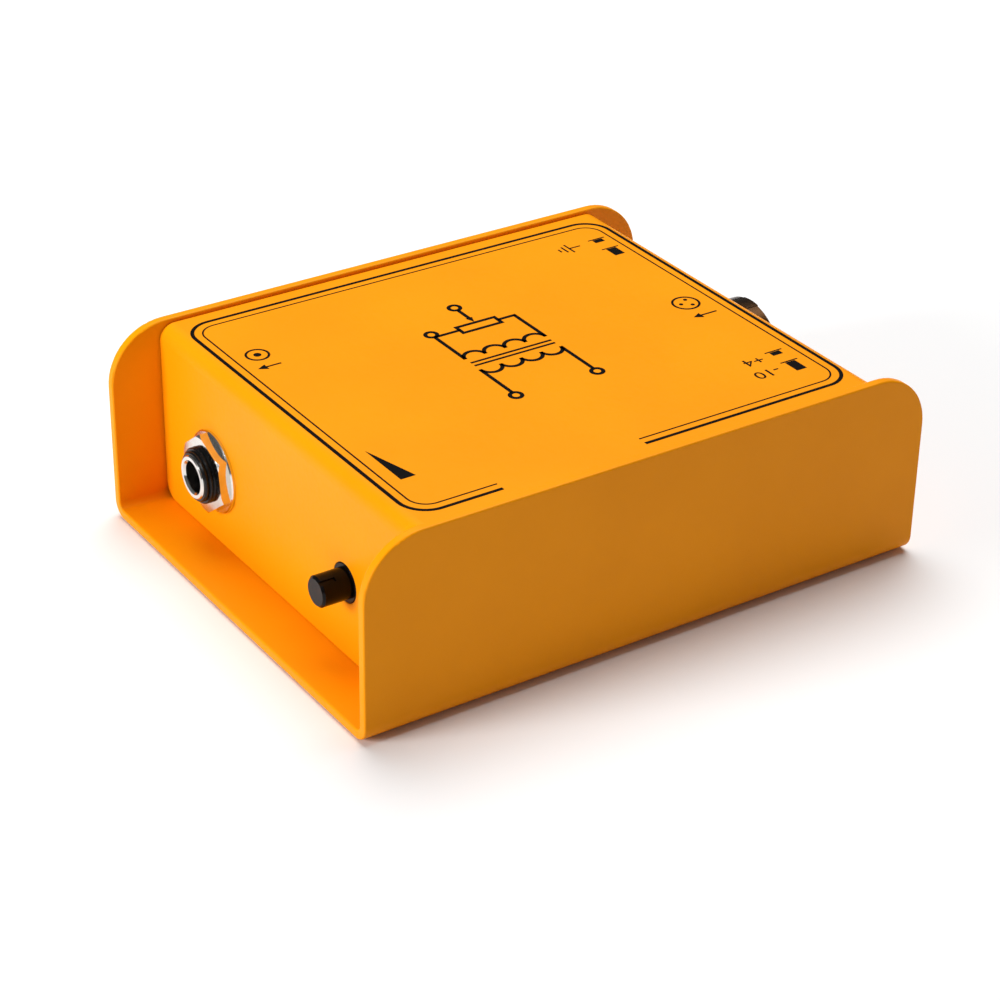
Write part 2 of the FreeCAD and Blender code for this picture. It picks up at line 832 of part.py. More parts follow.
def make_pot_wiper():
    body = new_body("pot_wiper")
    turned(body, [
        ("shaft_radius - 1", "cover_sheet + 4"),
        ("pot_case_radius - pot_wall - 0.6", "cover_sheet + 4"),
        ("pot_case_radius - pot_wall - 0.6", "cover_sheet + 4.8"),
        ("shaft_radius - 1", "cover_sheet + 4.8"),
    ])
    brush = new_sketch(body, "XZ_Plane", "-cover_sheet - 4.8")
    rectangle(brush, "-0.8", "0.8", "3.6", "5.6")
    pad(body, brush, "0.9", backwards=True)
    return node(at_rest_turn(body), "pot_wiper")


def make_pot_track():
    body = new_body("pot_track")
    rear = "cover_sheet + pot_case_depth"
    turned(body, [
        ("shaft_radius - 0.8", f"{rear} - 2"),
        ("pot_case_radius - pot_wall", f"{rear} - 2"),
        ("pot_case_radius - pot_wall", f"{rear} - 1"),
        ("shaft_radius - 0.8", f"{rear} - 1"),
    ])
    at_pot(body)
    return node(body, "pot_track")


def make_pot_pins():
    """Pins that come out of the track's back, and bend down to the board."""
    legs = []
    for step, (x, y) in enumerate(PLACES["pot"]):
        height = "pot_z - 4"
        low = "board_top - board_sheet - pin_below"
        leg = rod(f"pot_leg_{step}", "pin_radius", f"{height} - ({low})", x, y, low)
        stub = rod(f"pot_stub_{step}", "tail_radius", "1.6 + 1",
                   x, f"{y} - 2.6", f"{height} - pin_radius", FACING_BACK)
        legs.append(fused(f"pot_pin_{step}", [leg, stub]))
    return node(group("pot_pin_group", legs), "pot_pins")


# ---- Line socket: local Y is 0 on the rear panel's outer face, and +Y points out ----

def at_socket(item):
    place(item, "0", "cover_depth / 2", "socket_z")
    return item


def make_socket_shell():
    """Barrel, mounting flange and rear housing, cast in one."""
    body = new_body("socket_shell")
    turned(body, [
        ("0", "-cover_sheet"),
        ("barrel_radius", "-cover_sheet"),
        ("barrel_radius", "barrel_length - barrel_lip_round"),
        ("barrel_radius - barrel_lip_round", "barrel_length"),
        ("0", "barrel_length"),
    ])
    flange = new_sketch(body, "XZ_Plane", "cover_sheet")
    rectangle(flange, "-flange_width / 2", "flange_width / 2",
              "-flange_height / 2", "flange_height / 2")
    pad(body, flange, "flange_sheet")
    housing = new_sketch(body, "XZ_Plane", "cover_sheet")
    rectangle(housing, "-housing_width / 2", "housing_width / 2",
              "-flange_height / 2", "flange_height / 2")
    pad(body, housing, "housing_depth")
    turned(body, [
        ("0", "barrel_length"),
        ("barrel_bore_radius + 0.4", "barrel_length"),
        ("barrel_bore_radius", "barrel_length - 0.4"),
        ("barrel_bore_radius", "-cover_sheet - housing_depth + 7"),
        ("insert_radius", "-cover_sheet - housing_depth + 7"),
        ("insert_radius", "-cover_sheet - housing_depth"),
        ("0", "-cover_sheet - housing_depth"),
    ], groove=True)
    slot = new_sketch(body, "XZ_Plane", "-barrel_length")
    rectangle(slot, "-latch_width / 2 - 0.2", "latch_width / 2 + 0.2",
              "barrel_bore_radius - 1", "flange_height / 2 + 1")
    pocket(body, slot, "barrel_length + cover_sheet + housing_depth - 7", backwards=True)
    screws = new_sketch(body, "XZ_Plane", "cover_sheet")
    for side in ("-1", "1"):
        circle(screws, f"{side} * socket_screw_x", "0", "screw_radius")
    pocket(body, screws, "flange_sheet", backwards=True)
    pivot = new_sketch(body, "YZ_Plane", "-latch_pin_length / 2")
    circle(pivot, "latch_pivot_y", "latch_pivot_z", "latch_pin_radius")
    pocket(body, pivot, "latch_pin_length", backwards=True)
    return node(at_socket(body), "socket_shell")


# Where the three contacts stand, seen from the front of the box.
CONTACT_SPOTS = [
    ("-contact_ring_radius * cos(contact_spread)", "contact_ring_radius * sin(contact_spread)"),
    ("0", "-contact_ring_radius"),
    ("contact_ring_radius * cos(contact_spread)", "contact_ring_radius * sin(contact_spread)"),
]


def make_socket_insert():
    body = new_body("insert")
    turned(body, [
        ("0", "-cover_sheet - housing_depth"),
        ("insert_radius", "-cover_sheet - housing_depth"),
        ("insert_radius", "insert_front - 0.4"),
        ("insert_radius - 0.4", "insert_front"),
        ("0", "insert_front"),
    ])
    holes = new_sketch(body, "XZ_Plane", "-insert_front")
    for x, z in CONTACT_SPOTS:
        circle(holes, x, z, "contact_radius")
    pocket(body, holes, "insert_front + cover_sheet + housing_depth", backwards=True)
    return node(at_socket(body), "socket_insert")


def make_socket_contacts():
    """Three tubes that take the plug's pins, each with a tail down to the board."""
    mouth = "cover_depth / 2 + insert_front - 0.6"
    tail_end = "cover_depth / 2 - cover_sheet - housing_depth - 2"
    low = "board_top - board_sheet - pin_below"
    contacts = []
    for step, (x, z) in enumerate(CONTACT_SPOTS):
        height = f"socket_z + ({z})"
        name = f"socket_contact_{step}"
        sleeve = rod(name + "_sleeve", "contact_radius", "contact_length + 1.5",
                     x, f"{mouth} - contact_length - 1.5", height, FACING_BACK)
        bore = rod(name + "_bore", "contact_bore_radius", "contact_length",
                   x, f"{mouth} - contact_length", height, FACING_BACK)
        tail = rod(name + "_tail", "tail_radius", f"({mouth} - contact_length - 1) - ({tail_end})",
                   x, tail_end, height, FACING_BACK)
        leg = rod(name + "_leg", "pin_radius", f"({height} + pin_radius) - ({low})",
                  x, tail_end, low)
        contacts.append(fused(name, [cut(name + "_tube", sleeve, bore), tail, leg]))
    return node(group("socket_contact_group", contacts), "socket_contacts")


def make_socket_latch():
    """A lever in the barrel's upper slot.

    Its front end is the push tab, flush with the barrel. Its rear end carries the hook that
    holds a plug.
    """
    body = new_body("latch")
    sketch = new_sketch(body, "YZ_Plane")
    polygon(sketch, [
        ("-8", "latch_low"),
        ("-6", "latch_low"),
        ("-5.6", "latch_low - latch_hook"),
        ("-4", "latch_low - latch_hook"),
        ("-3.8", "latch_low"),
        ("latch_pivot_y - 1", "latch_low"),
        ("latch_pivot_y + 1", "latch_tab_low"),
        ("barrel_length - 0.2", "latch_tab_low"),
        ("barrel_length - 0.2", "barrel_radius"),
        ("latch_pivot_y - 1", "barrel_radius"),
        ("latch_pivot_y - 1.5", "latch_low + latch_sheet"),
        ("-8", "latch_low + latch_sheet"),
    ])
    pad(body, sketch, "latch_width", symmetric=True)
    turned(body, [
        ("barrel_radius - 0.03", "-9"),
        ("barrel_radius + 2", "-9"),
        ("barrel_radius + 2", "barrel_length + 1"),
        ("barrel_radius - 0.03", "barrel_length + 1"),
    ], groove=True)
    boss = new_sketch(body, "YZ_Plane")
    circle(boss, "latch_pivot_y", "latch_pivot_z", "latch_eye_radius")
    pad(body, boss, "latch_width", symmetric=True)
    eye = new_sketch(body, "YZ_Plane", "-latch_width / 2")
    circle(eye, "latch_pivot_y", "latch_pivot_z", "latch_pin_radius + 0.03")
    pocket(body, eye, "latch_width", backwards=True)
    return node(at_socket(body), "socket_latch")


def make_latch_pin():
    pin = rod("latch_pin", "latch_pin_radius", "latch_pin_length", "-latch_pin_length / 2",
              "cover_depth / 2 + latch_pivot_y", "socket_z + latch_pivot_z", FACING_RIGHT)
    return node(pin, "socket_latch_pin")


def make_latch_spring():
    """A leaf on top of the housing that presses on the lever's rear end."""
    top = size("flange_height / 2 + contact_sheet / 2")
    rest = size("latch_low + latch_sheet + contact_sheet / 2")
    path = [(-14.5, top), (-9.1, top), (-7.6, rest + 0.05), (-6.6, rest + 0.3)]
    leaf = strip("latch_leaf", path, "contact_width", "0", "cover_depth / 2", "socket_z")
    return node(leaf, "socket_latch_spring")


def make_socket_screws():
    body = new_body("socket_screw")
    turned(body, [
        ("0", "-cover_sheet - flange_sheet - 1"),
        ("screw_radius", "-cover_sheet - flange_sheet - 1"),
        ("screw_radius", "0"),
        ("socket_screw_head", "0"),
        ("socket_screw_head", "1"),
        ("socket_screw_head - 0.9", "1.8"),
        ("0", "1.8"),
    ])
    recess = new_sketch(body, "XZ_Plane", "-1.8")
    cross(recess, "recess_length * 0.85", "recess_width")
    doc.recompute()
    pocket(body, recess, "recess_depth", backwards=True)
    place(body, "socket_screw_x", "cover_depth / 2", "socket_z")
    pair = group("socket_screw_pair", [body, mirrored("socket_screw_left", body, X_AXIS)])
    return node(pair, "socket_screws")


# ---- Push switches: local Y is 0 on the rear panel's outer face, and +Y points out ----

def make_switch(side, name):
    """One latching push switch. Side is -1 at the left and 1 at the right, seen from the front."""
    x = f"{side} * switch_x"
    half = "switch_width / 2"
    face = "cover_depth / 2 - switch_setback"
    channel = "plunger_side / 2 + plunger_gap"
    case = block(name + "_case", f"{x} - {half}", f"{x} + {half}",
                 f"{face} - switch_length", face, "board_top", "2 * switch_z - board_top")
    hollow = block(name + "_hollow", f"{x} - ({channel})", f"{x} + {channel}",
                   f"{face} - switch_length + 0.7", f"{face} + 1",
                   f"switch_z - ({channel})", f"switch_z + {channel}")
    node(cut(name + "_hollow_case", case, hollow), name + "_body")

    plunger = block(name + "_stem", f"{x} - plunger_side / 2", f"{x} + plunger_side / 2",
                    f"{face} - switch_length + button_travel + 1", "cover_depth / 2 + 2",
                    "switch_z - plunger_side / 2", "switch_z + plunger_side / 2")
    node(plunger, name + "_plunger")

    cap = new_body(name + "_cap")
    turned(cap, [
        ("0", "-button_rear"),
        ("button_radius", "-button_rear"),
        ("button_radius", "button_front"),
        ("0", "button_front"),
    ])
    front = size("button_front")
    fillet(cap, "button_round",
           lambda e: near(e.BoundBox.YMin, front) and near(e.BoundBox.YMax, front))
    seat = new_sketch(cap, "XZ_Plane", "button_rear")
    rectangle(seat, "-plunger_side / 2", "plunger_side / 2", "-plunger_side / 2", "plunger_side / 2")
    pocket(cap, seat, "button_rear + 2")
    place(cap, x, "cover_depth / 2", "switch_z")
    node(cap, name + "_cap")

    helix = doc.addObject("Part::Helix", name + "_helix")
    rest_length = "switch_setback - button_rear - 2 * spring_wire"
    helix.Placement = FreeCAD.Placement(V(0, 0, 0), FACING_BACK)
    bind(helix, Radius="button_radius - 0.5", Height=rest_length, Pitch=f"({rest_length}) / 4")
    place(helix, x, f"{face} + spring_wire", "switch_z")
    wire = doc.addObject("Part::Circle", name + "_wire")
    wire.Placement = FreeCAD.Placement(V(0, 0, 0), FreeCAD.Rotation(X_AXIS, 0))
    bind(wire, Radius="spring_wire")
    place(wire, f"{x} + button_radius - 0.5", f"{face} + spring_wire", "switch_z")
    coil = doc.addObject("Part::Sweep", name + "_coil")
    coil.Sections = [wire]
    coil.Spine = (helix, ["Edge1"])
    coil.Solid = True
    coil.Frenet = True
    node(coil, name + "_spring")

    pins(name + "_pins", PLACES[name])


# ---- Transformer ----

def around_core(name, reach_x, reach_y, z_low, z_high):
    """A block centred on the transformer."""
    return block(name, f"core_x - ({reach_x})", f"core_x + {reach_x}",
                 f"core_y - ({reach_y})", f"core_y + {reach_y}", z_low, z_high)


def make_transformer():
    foot = "board_top + core_stand"
    low = f"{foot} + core_limb"
    high = f"{foot} + core_height - core_limb"
    stack = "core_stack / 2"

    outside = around_core("core_outside", "core_width / 2", stack, foot, f"{foot} + core_height")
    windows = []
    for side, name in ((-1, "left"), (1, "right")):
        middle = f"core_x + {side} * core_width / 4"
        gap = "(core_width - 4 * core_limb) / 4"
        windows.append(block("window_" + name, f"{middle} - {gap}", f"{middle} + {gap}",
                             f"core_y - {stack} - 1", f"core_y + {stack} + 1", low, high))
    node(cut("core", outside, fused("core_windows", windows)), "transformer_core")

    inner_x = "core_limb + bobbin_play"
    inner_y = f"{stack} + bobbin_play"
    outer_x = f"{inner_x} + bobbin_wall"
    outer_y = f"{inner_y} + bobbin_wall"
    flange_x = "core_width / 2 - core_limb - bobbin_play"
    flange_y = f"{outer_y} + winding_build + 1.2"
    pieces = [
        around_core("bobbin_sleeve", outer_x, outer_y, f"{low} + bobbin_play", f"{high} - bobbin_play"),
        around_core("bobbin_low", flange_x, flange_y,
                    f"{low} + bobbin_play", f"{low} + bobbin_play + bobbin_wall"),
        around_core("bobbin_high", flange_x, flange_y,
                    f"{high} - bobbin_play - bobbin_wall", f"{high} - bobbin_play"),
    ]
    for side, name in ((-1, "front"), (1, "rear")):
        middle = f"core_y + {side} * ({flange_y} - 1.2)"
        pieces.append(block("bobbin_rail_" + name, "core_x - 13", "core_x + 13",
                            f"{middle} - 1.2", f"{middle} + 1.2",
                            "board_top", f"{low} + bobbin_play + bobbin_wall"))
    opening = around_core("bobbin_opening", inner_x, inner_y, foot, f"{foot} + core_height")
    node(cut("bobbin", fused("bobbin_solid", pieces), opening), "transformer_bobbin")

    winding = new_body("winding")
    ring = new_sketch(winding, "XY_Plane", f"{low} + bobbin_play + bobbin_wall")
    rectangle(ring, f"-({outer_x} + winding_build)", f"{outer_x} + winding_build",
              f"-({outer_y} + winding_build)", f"{outer_y} + winding_build")
    rectangle(ring, f"-({outer_x})", outer_x, f"-({outer_y})", outer_y)
    pad(winding, ring, f"({high}) - ({low}) - 2 * bobbin_play - 2 * bobbin_wall")
    wide = size(f"{outer_x} + winding_build")
    fillet(winding, "winding_build - 0.8",
           lambda e: along(e, Z_AXIS) and near(abs(e.CenterOfMass.x), wide))
    place(winding, "core_x", "core_y", "0")
    node(winding, "transformer_winding")

    pins("transformer_pins", PLACES["transformer"])


# ---- Small parts on the board ----

def leaded_part(name, body_solid, places, lead_height):
    """A part with a body and two wire leads that go down through the board."""
    low = "board_top - board_sheet - pin_below"
    legs = []
    for step, (x, y) in enumerate(places):
        legs.append(rod(f"{name}_leg_{step}", "lead_radius * 1.2", f"({lead_height}) - ({low})",
                        x, y, low))
    return fused(name, [body_solid] + legs)


def make_resistors():
    pieces = []
    height = "board_top + resistor_radius + 0.3"
    for row in range(4):
        ends = PLACES["resistor"][2 * row:2 * row + 2]
        x, y = ends[0]
        name = f"resistor_{row}"
        barrel = rod(name + "_body", "resistor_radius", "resistor_length",
                     f"{x} + (resistor_pitch - resistor_length) / 2", y, height, FACING_RIGHT)
        lead = rod(name + "_lead", "lead_radius", "resistor_pitch", x, y, height, FACING_RIGHT)
        pieces.append(leaded_part(name, fused(name + "_solid", [barrel, lead]), ends,
                                  f"{height} + lead_radius * 1.5"))
    return node(group("resistor_group", pieces), "resistors")


def make_capacitors():
    pieces = []
    for row in range(2):
        ends = PLACES["capacitor"][2 * row:2 * row + 2]
        y = ends[0][1]
        name = f"capacitor_{row}"
        case = block(name + "_case", "capacitor_x - capacitor_length / 2",
                     "capacitor_x + capacitor_length / 2", f"{y} - capacitor_width / 2",
                     f"{y} + capacitor_width / 2", "board_top", "board_top + capacitor_height")
        pieces.append(leaded_part(name, case, ends, "board_top + 1"))
    return node(group("capacitor_group", pieces), "film_capacitors")


# ---- Build, check, export ----

def build():
    make_chassis()
    make_cover()
    make_brackets()
    make_bracket_nut()
    make_cover_screws()
    make_board()
    make_jack_body()
    make_jack_ferrule()
    make_jack_washer()
    make_jack_nut()
    make_jack_contacts()
    make_pot_case()
    make_pot_bush()
    make_pot_shaft()
    make_pot_wiper()
    make_pot_track()
    make_pot_pins()
    make_socket_shell()
    make_socket_insert()
    make_socket_contacts()
    make_socket_latch()
    make_latch_pin()
    make_latch_spring()
    make_socket_screws()
    make_switch(-1, "ground_switch")
    make_switch(1, "level_switch")
    make_transformer()
    make_resistors()
    make_capacitors()
    doc.recompute()


def check():
    for item in doc.Objects:
        if "Invalid" in item.State or "Error" in item.State:
            raise RuntimeError(f"{item.Label} failed: {item.State}")
    for item in nodes:
        shape = item.Shape
        if shape.isNull() or not shape.isValid() or not shape.Solids:
            raise RuntimeError(f"{item.Label} has no valid solid")


def export():
    os.makedirs("parts", exist_ok=True)
    for item in nodes:
        item.Shape.exportStep(f"parts/{item.Label}.step")
        box = item.Shape.optimalBoundingBox()
        print(f"{item.Label}: {len(item.Shape.Solids)} solid(s), "
              f"{box.XLength:.1f} x {box.YLength:.1f} x {box.ZLength:.1f} mm")


build()
check()
export()
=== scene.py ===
"""The looks of the box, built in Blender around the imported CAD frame.

Frame: metres, origin at the middle of the underside, +X to the right seen from the front,
-Y out of the front panel, +Z up. The printing on the cover is made here as thin ink slabs.
"""
import json
import math

import bmesh
import bpy
from mathutils import Matrix, Vector


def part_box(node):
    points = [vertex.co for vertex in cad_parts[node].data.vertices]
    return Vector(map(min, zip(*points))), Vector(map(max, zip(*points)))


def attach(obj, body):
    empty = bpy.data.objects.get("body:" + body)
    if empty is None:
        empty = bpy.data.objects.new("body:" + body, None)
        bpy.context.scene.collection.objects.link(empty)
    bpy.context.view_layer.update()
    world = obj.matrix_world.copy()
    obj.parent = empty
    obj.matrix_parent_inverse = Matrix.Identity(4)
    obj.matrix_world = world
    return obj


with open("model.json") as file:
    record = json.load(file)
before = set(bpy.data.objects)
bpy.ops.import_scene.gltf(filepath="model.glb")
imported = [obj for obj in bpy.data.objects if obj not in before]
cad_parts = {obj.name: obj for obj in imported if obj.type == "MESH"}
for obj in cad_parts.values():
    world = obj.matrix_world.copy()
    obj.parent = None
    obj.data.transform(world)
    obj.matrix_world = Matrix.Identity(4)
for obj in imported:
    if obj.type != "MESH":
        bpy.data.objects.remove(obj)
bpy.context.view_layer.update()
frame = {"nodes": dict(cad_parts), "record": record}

MM = 0.001
scene = bpy.context.scene


# ---- Shader building ----

def socket_of(side, name):
    """A node's socket by its name."""
    return next(s for s in side if s.name == name)


class Shader:
    """A small wrapper that makes shader nodes and links them."""

    def __init__(self, name, **settings):
        self.material = bpy.data.materials.new(name)
        self.material.use_nodes = True
        self.tree = self.material.node_tree
        self.tree.nodes.clear()
        self.out = self.add("ShaderNodeOutputMaterial")
        self.main = self.add("ShaderNodeBsdfPrincipled")
        self.link(self.main, "BSDF", self.out, "Surface")
        for key, value in settings.items():
            socket_of(self.main.inputs, key.replace("_", " ")).default_value = value
        self.place = self.add("ShaderNodeTexCoord")

    def add(self, kind, **settings):
        made = self.tree.nodes.new(kind)
        for key, value in settings.items():
            setattr(made, key, value)
        return made

    def link(self, source, out, target, into):
        self.tree.links.new(socket_of(source.outputs, out), socket_of(target.inputs, into))

    def noise(self, grain, detail=2.0):
        """Noise whose spots are about one grain across, in metres."""
        made = self.add("ShaderNodeTexNoise")
        socket_of(made.inputs, "Scale").default_value = 1 / grain
        socket_of(made.inputs, "Detail").default_value = detail
        self.link(self.place, "Object", made, "Vector")
        return made

    def ramp(self, source, out, stops):
        """A colour ramp over a source value. Stops are (place, colour or grey)."""
        made = self.add("ShaderNodeValToRGB")
        self.link(source, out, made, "Fac")
        band = made.color_ramp
        while len(band.elements) < len(stops):
            band.elements.new(0.5)
        for element, (place, tint) in zip(band.elements, stops):
            element.position = place
            element.color = tint if isinstance(tint, tuple) else (tint, tint, tint, 1)
        return made

    def color(self, source, stops):
        self.link(self.ramp(source, "Fac", stops), "Color", self.main, "Base Color")

    def roughness(self, source, low, high):
        band = self.ramp(source, "Fac", [(0.3, low), (0.7, high)])
        self.link(band, "Color", self.main, "Roughness")

    def bumps(self, layers):
        """Bumps from several noises: (noise, height in metres), small ones last."""
        before = None
        for source, height in layers:
            made = self.add("ShaderNodeBump")
            socket_of(made.inputs, "Distance").default_value = height
            self.link(source, "Fac", made, "Height")
            if before:
                self.link(before, "Normal", made, "Normal")
            before = made
        self.link(before, "Normal", self.main, "Normal")


def rgb(red, green, blue):
    return (red, green, blue, 1.0)


# ---- Materials ----

def powder_coat(name):
    """Semi-gloss powder coat on sheet steel, with a faint orange peel."""
    cloud_grain, peel_grain, dust_grain = 30 * MM, 1.1 * MM, 0.35 * MM
    peel_height, dust_height = 0.02 * MM, 0.006 * MM
    dark, light = rgb(0.92, 0.305, 0.0008), rgb(0.96, 0.325, 0.0010)
    shader = Shader(name, Specular_IOR_Level=0.085)
    cloud = shader.noise(cloud_grain, detail=3)
    peel = shader.noise(peel_grain, detail=1)
    dust = shader.noise(dust_grain, detail=3)
    shader.color(cloud, [(0.35, dark), (0.65, light)])
    shader.roughness(peel, 0.36, 0.44)
    shader.bumps([(cloud, peel_height), (peel, peel_height), (dust, dust_height)])
    return shader.material


def darker(tint, share):
    """The tint with each of its parts brought down to a share."""
    return rgb(*(part * share for part in tint))


def metal(name, tint, rough, bump=0.006 * MM, spread=0.08):
    """Bare or plated metal with a fine even grain."""
    fine_grain, cloud_grain = 0.6 * MM, 4 * MM
    shader = Shader(name, Metallic=1.0)
    fine = shader.noise(fine_grain, detail=4)
    cloud = shader.noise(cloud_grain, detail=3)
    shader.color(cloud, [(0.3, darker(tint, 0.82)), (0.7, rgb(*tint))])
    shader.roughness(fine, rough - spread / 2, rough + spread / 2)
    shader.bumps([(fine, bump)])
    return shader.material


def plastic(name, tint, rough, level=0.5):
    """Moulded plastic with a fine skin texture."""
    cloud_grain, skin_grain, skin_height = 3 * MM, 0.5 * MM, 0.012 * MM
    shader = Shader(name, Specular_IOR_Level=level)
    cloud = shader.noise(cloud_grain, detail=3)
    skin = shader.noise(skin_grain)
    shader.color(cloud, [(0.3, darker(tint, 0.8)), (0.7, rgb(*tint))])
    shader.roughness(skin, rough - 0.05, rough + 0.06)
    shader.bumps([(skin, skin_height)])
    return shader.material


def laminate(name):
    """Green circuit board lacquer over a woven laminate."""
    weave_scale, weave_height, cloud_grain = 500, 0.01 * MM, 6 * MM
    dark, light = rgb(0.01, 0.11, 0.04), rgb(0.015, 0.16, 0.06)
    shader = Shader(name, Coat_Weight=0.3)
    weave = shader.add("ShaderNodeTexWave", wave_type="BANDS", bands_direction="DIAGONAL")
    socket_of(weave.inputs, "Scale").default_value = weave_scale
    shader.link(shader.place, "Object", weave, "Vector")
    cloud = shader.noise(cloud_grain)
    shader.color(cloud, [(0.35, dark), (0.65, light)])
    shader.roughness(cloud, 0.25, 0.35)
    shader.bumps([(weave, weave_height)])
    return shader.material


def laminations(name):
    """Stacked transformer sheets: fine bands along Y."""
    band_scale, band_height, cloud_grain = 320, 0.06 * MM, 3 * MM
    dark, light = rgb(0.10, 0.10, 0.11), rgb(0.22, 0.21, 0.20)
    shader = Shader(name, Metallic=0.7)
    sheets = shader.add("ShaderNodeTexWave", wave_type="BANDS", bands_direction="Y")
    socket_of(sheets.inputs, "Scale").default_value = band_scale
    shader.link(shader.place, "Object", sheets, "Vector")
    cloud = shader.noise(cloud_grain, detail=4)
    shader.color(cloud, [(0.35, dark), (0.7, light)])
    shader.roughness(cloud, 0.4, 0.6)
    shader.bumps([(sheets, band_height)])
    return shader.material


def ink(name):
    """Matt black screen-printing ink."""
    grain, height = 0.4 * MM, 0.006 * MM
    dark, light = rgb(0.004, 0.004, 0.004), rgb(0.009, 0.008, 0.007)
    shader = Shader(name, Specular_IOR_Level=0.02)
    grains = shader.noise(grain, detail=3)
    shader.color(grains, [(0.3, dark), (0.7, light)])
    shader.roughness(grains, 0.5, 0.65)
    shader.bumps([(grains, height)])
    return shader.material


MATERIALS = {
    "orange_coat": powder_coat("orange_coat"),
    "cover_coat": powder_coat("cover_coat"),
    "black_screws": metal("black_screws", (0.05, 0.05, 0.052), 0.34),
    "zinc_steel": metal("zinc_steel", (0.60, 0.60, 0.58), 0.32),
    "nickel": metal("nickel", (0.80, 0.785, 0.75), 0.13, bump=0.004 * MM, spread=0.06),
    "jack_plastic": plastic("jack_plastic", (0.005, 0.005, 0.005), 0.22, level=0.22),
    "control_plastic": plastic("control_plastic", (0.004, 0.003, 0.003), 0.2, level=0.12),
    # painted reflection: the dark brown tint of the plated socket metal stands in for the orange coat
    # and shade mirrored in it
    "socket_metal": metal("socket_metal", (0.085, 0.040, 0.016), 0.26, bump=0.002 * MM),
    "button_plastic": plastic("button_plastic", (0.014, 0.014, 0.015), 0.30),
    "contact_brass": metal("contact_brass", (0.83, 0.62, 0.28), 0.22),
    "spring_steel": metal("spring_steel", (0.62, 0.62, 0.61), 0.25),
    "board_laminate": laminate("board_laminate"),
    "core_steel": laminations("core_steel"),
    "bobbin_plastic": plastic("bobbin_plastic", (0.72, 0.69, 0.60), 0.45),
    "winding_tape": plastic("winding_tape", (0.66, 0.40, 0.05), 0.25),
    "resistor_lacquer": plastic("resistor_lacquer", (0.16, 0.36, 0.55), 0.25),
    "capacitor_plastic": plastic("capacitor_plastic", (0.45, 0.03, 0.02), 0.30),
    "print_ink": ink("print_ink"),
}


def dress_frame():
    """Give every CAD node the material of its slot."""
    for part in frame["record"]["subparts"]:
        piece = frame["nodes"][part["node"]]
        piece.data.materials.clear()
        piece.data.materials.append(MATERIALS[part["material_slot"]])


# ---- Printing on the cover: places in millimetres, X and Y as on the cover ----

COVER_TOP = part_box("top_cover")[1].z
INK_LOW = -0.004 * MM
INK_HIGH = 0.035 * MM
CORNER_STEPS = 10
CURVE_STEPS = 28
RING_STEPS = 40
SHARPEST = 0.3  # keeps a ribbon's edge from reaching far out at a sharp bend


def print_piece(name, meshes):
    """Join flat ink meshes into one printed piece that rides on the box."""
    joined = bpy.data.meshes.new(name)
    whole = bmesh.new()
    for mesh in meshes:
        whole.from_mesh(mesh)
        bpy.data.meshes.remove(mesh)
    whole.to_mesh(joined)
    whole.free()
    joined.materials.append(MATERIALS["print_ink"])
    piece = bpy.data.objects.new(name, joined)
    scene.collection.objects.link(piece)
    piece.location.z = COVER_TOP
    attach(piece, "box")


def slab(outline):
    """A closed slab of ink over a simple outline of (x, y) in millimetres."""
    shape = bmesh.new()
    low = [shape.verts.new((x * MM, y * MM, INK_LOW)) for x, y in outline]
    high = [shape.verts.new((x * MM, y * MM, INK_HIGH)) for x, y in outline]
    shape.faces.new(high)
    shape.faces.new(low[::-1])
    for step in range(len(outline)):
        after = (step + 1) % len(outline)
        shape.faces.new((low[step], low[after], high[after], high[step]))
    bmesh.ops.recalc_face_normals(shape, faces=shape.faces)
    mesh = bpy.data.meshes.new("slab")
    shape.to_mesh(mesh)
    shape.free()
    return mesh


def bar(x_low, x_high, y_low, y_high):
    return slab([(x_low, y_low), (x_high, y_low), (x_high, y_high), (x_low, y_high)])


def ribbon(path, width, closed=False):
    """A line of ink of even width along a path of (x, y) in millimetres."""
    spots = [Vector(spot) for spot in path]
    count = len(spots)
    left, right = [], []
    for step, spot in enumerate(spots):
        before = spots[step - 1] if step or closed else None
        after = spots[(step + 1) % count] if step < count - 1 or closed else None
        run_in = (spot - before).normalized() if before else (after - spot).normalized()
        run_out = (after - spot).normalized() if after else run_in
        across = (run_in + run_out).normalized().orthogonal()
        reach = width / 2 / max(across.dot(run_in.orthogonal()), SHARPEST)
        left.append(spot + across * reach)
        right.append(spot - across * reach)
    shape = bmesh.new()
    rows = []
    for a, b in zip(left, right):
        rows.append([shape.verts.new((p.x * MM, p.y * MM, level))
                     for p, level in ((a, INK_LOW), (a, INK_HIGH), (b, INK_HIGH), (b, INK_LOW))])
    for step in range(count if closed else count - 1):
        here, there = rows[step], rows[(step + 1) % count]
        for side in range(4):
            after = (side + 1) % 4
            shape.faces.new((here[side], here[after], there[after], there[side]))
    if not closed:
        shape.faces.new(rows[0])
        shape.faces.new(rows[-1][::-1])
    bmesh.ops.recalc_face_normals(shape, faces=shape.faces)
    mesh = bpy.data.meshes.new("ribbon")
    shape.to_mesh(mesh)
    shape.free()
    return mesh


def rounded_box(x_low, x_high, y_low, y_high, radius):
    """The points of a rectangle with round corners, anticlockwise from the lower right."""
    points = []
    centres = [(x_high - radius, y_low + radius), (x_high - radius, y_high - radius),
               (x_low + radius, y_high - radius), (x_low + radius, y_low + radius)]
    for corner, (x, y) in enumerate(centres):
        for step in range(CORNER_STEPS + 1):
            angle = math.radians(-90 + 90 * corner + 90 * step / CORNER_STEPS)
            points.append((x + radius * math.cos(angle), y + radius * math.sin(angle)))
    return points


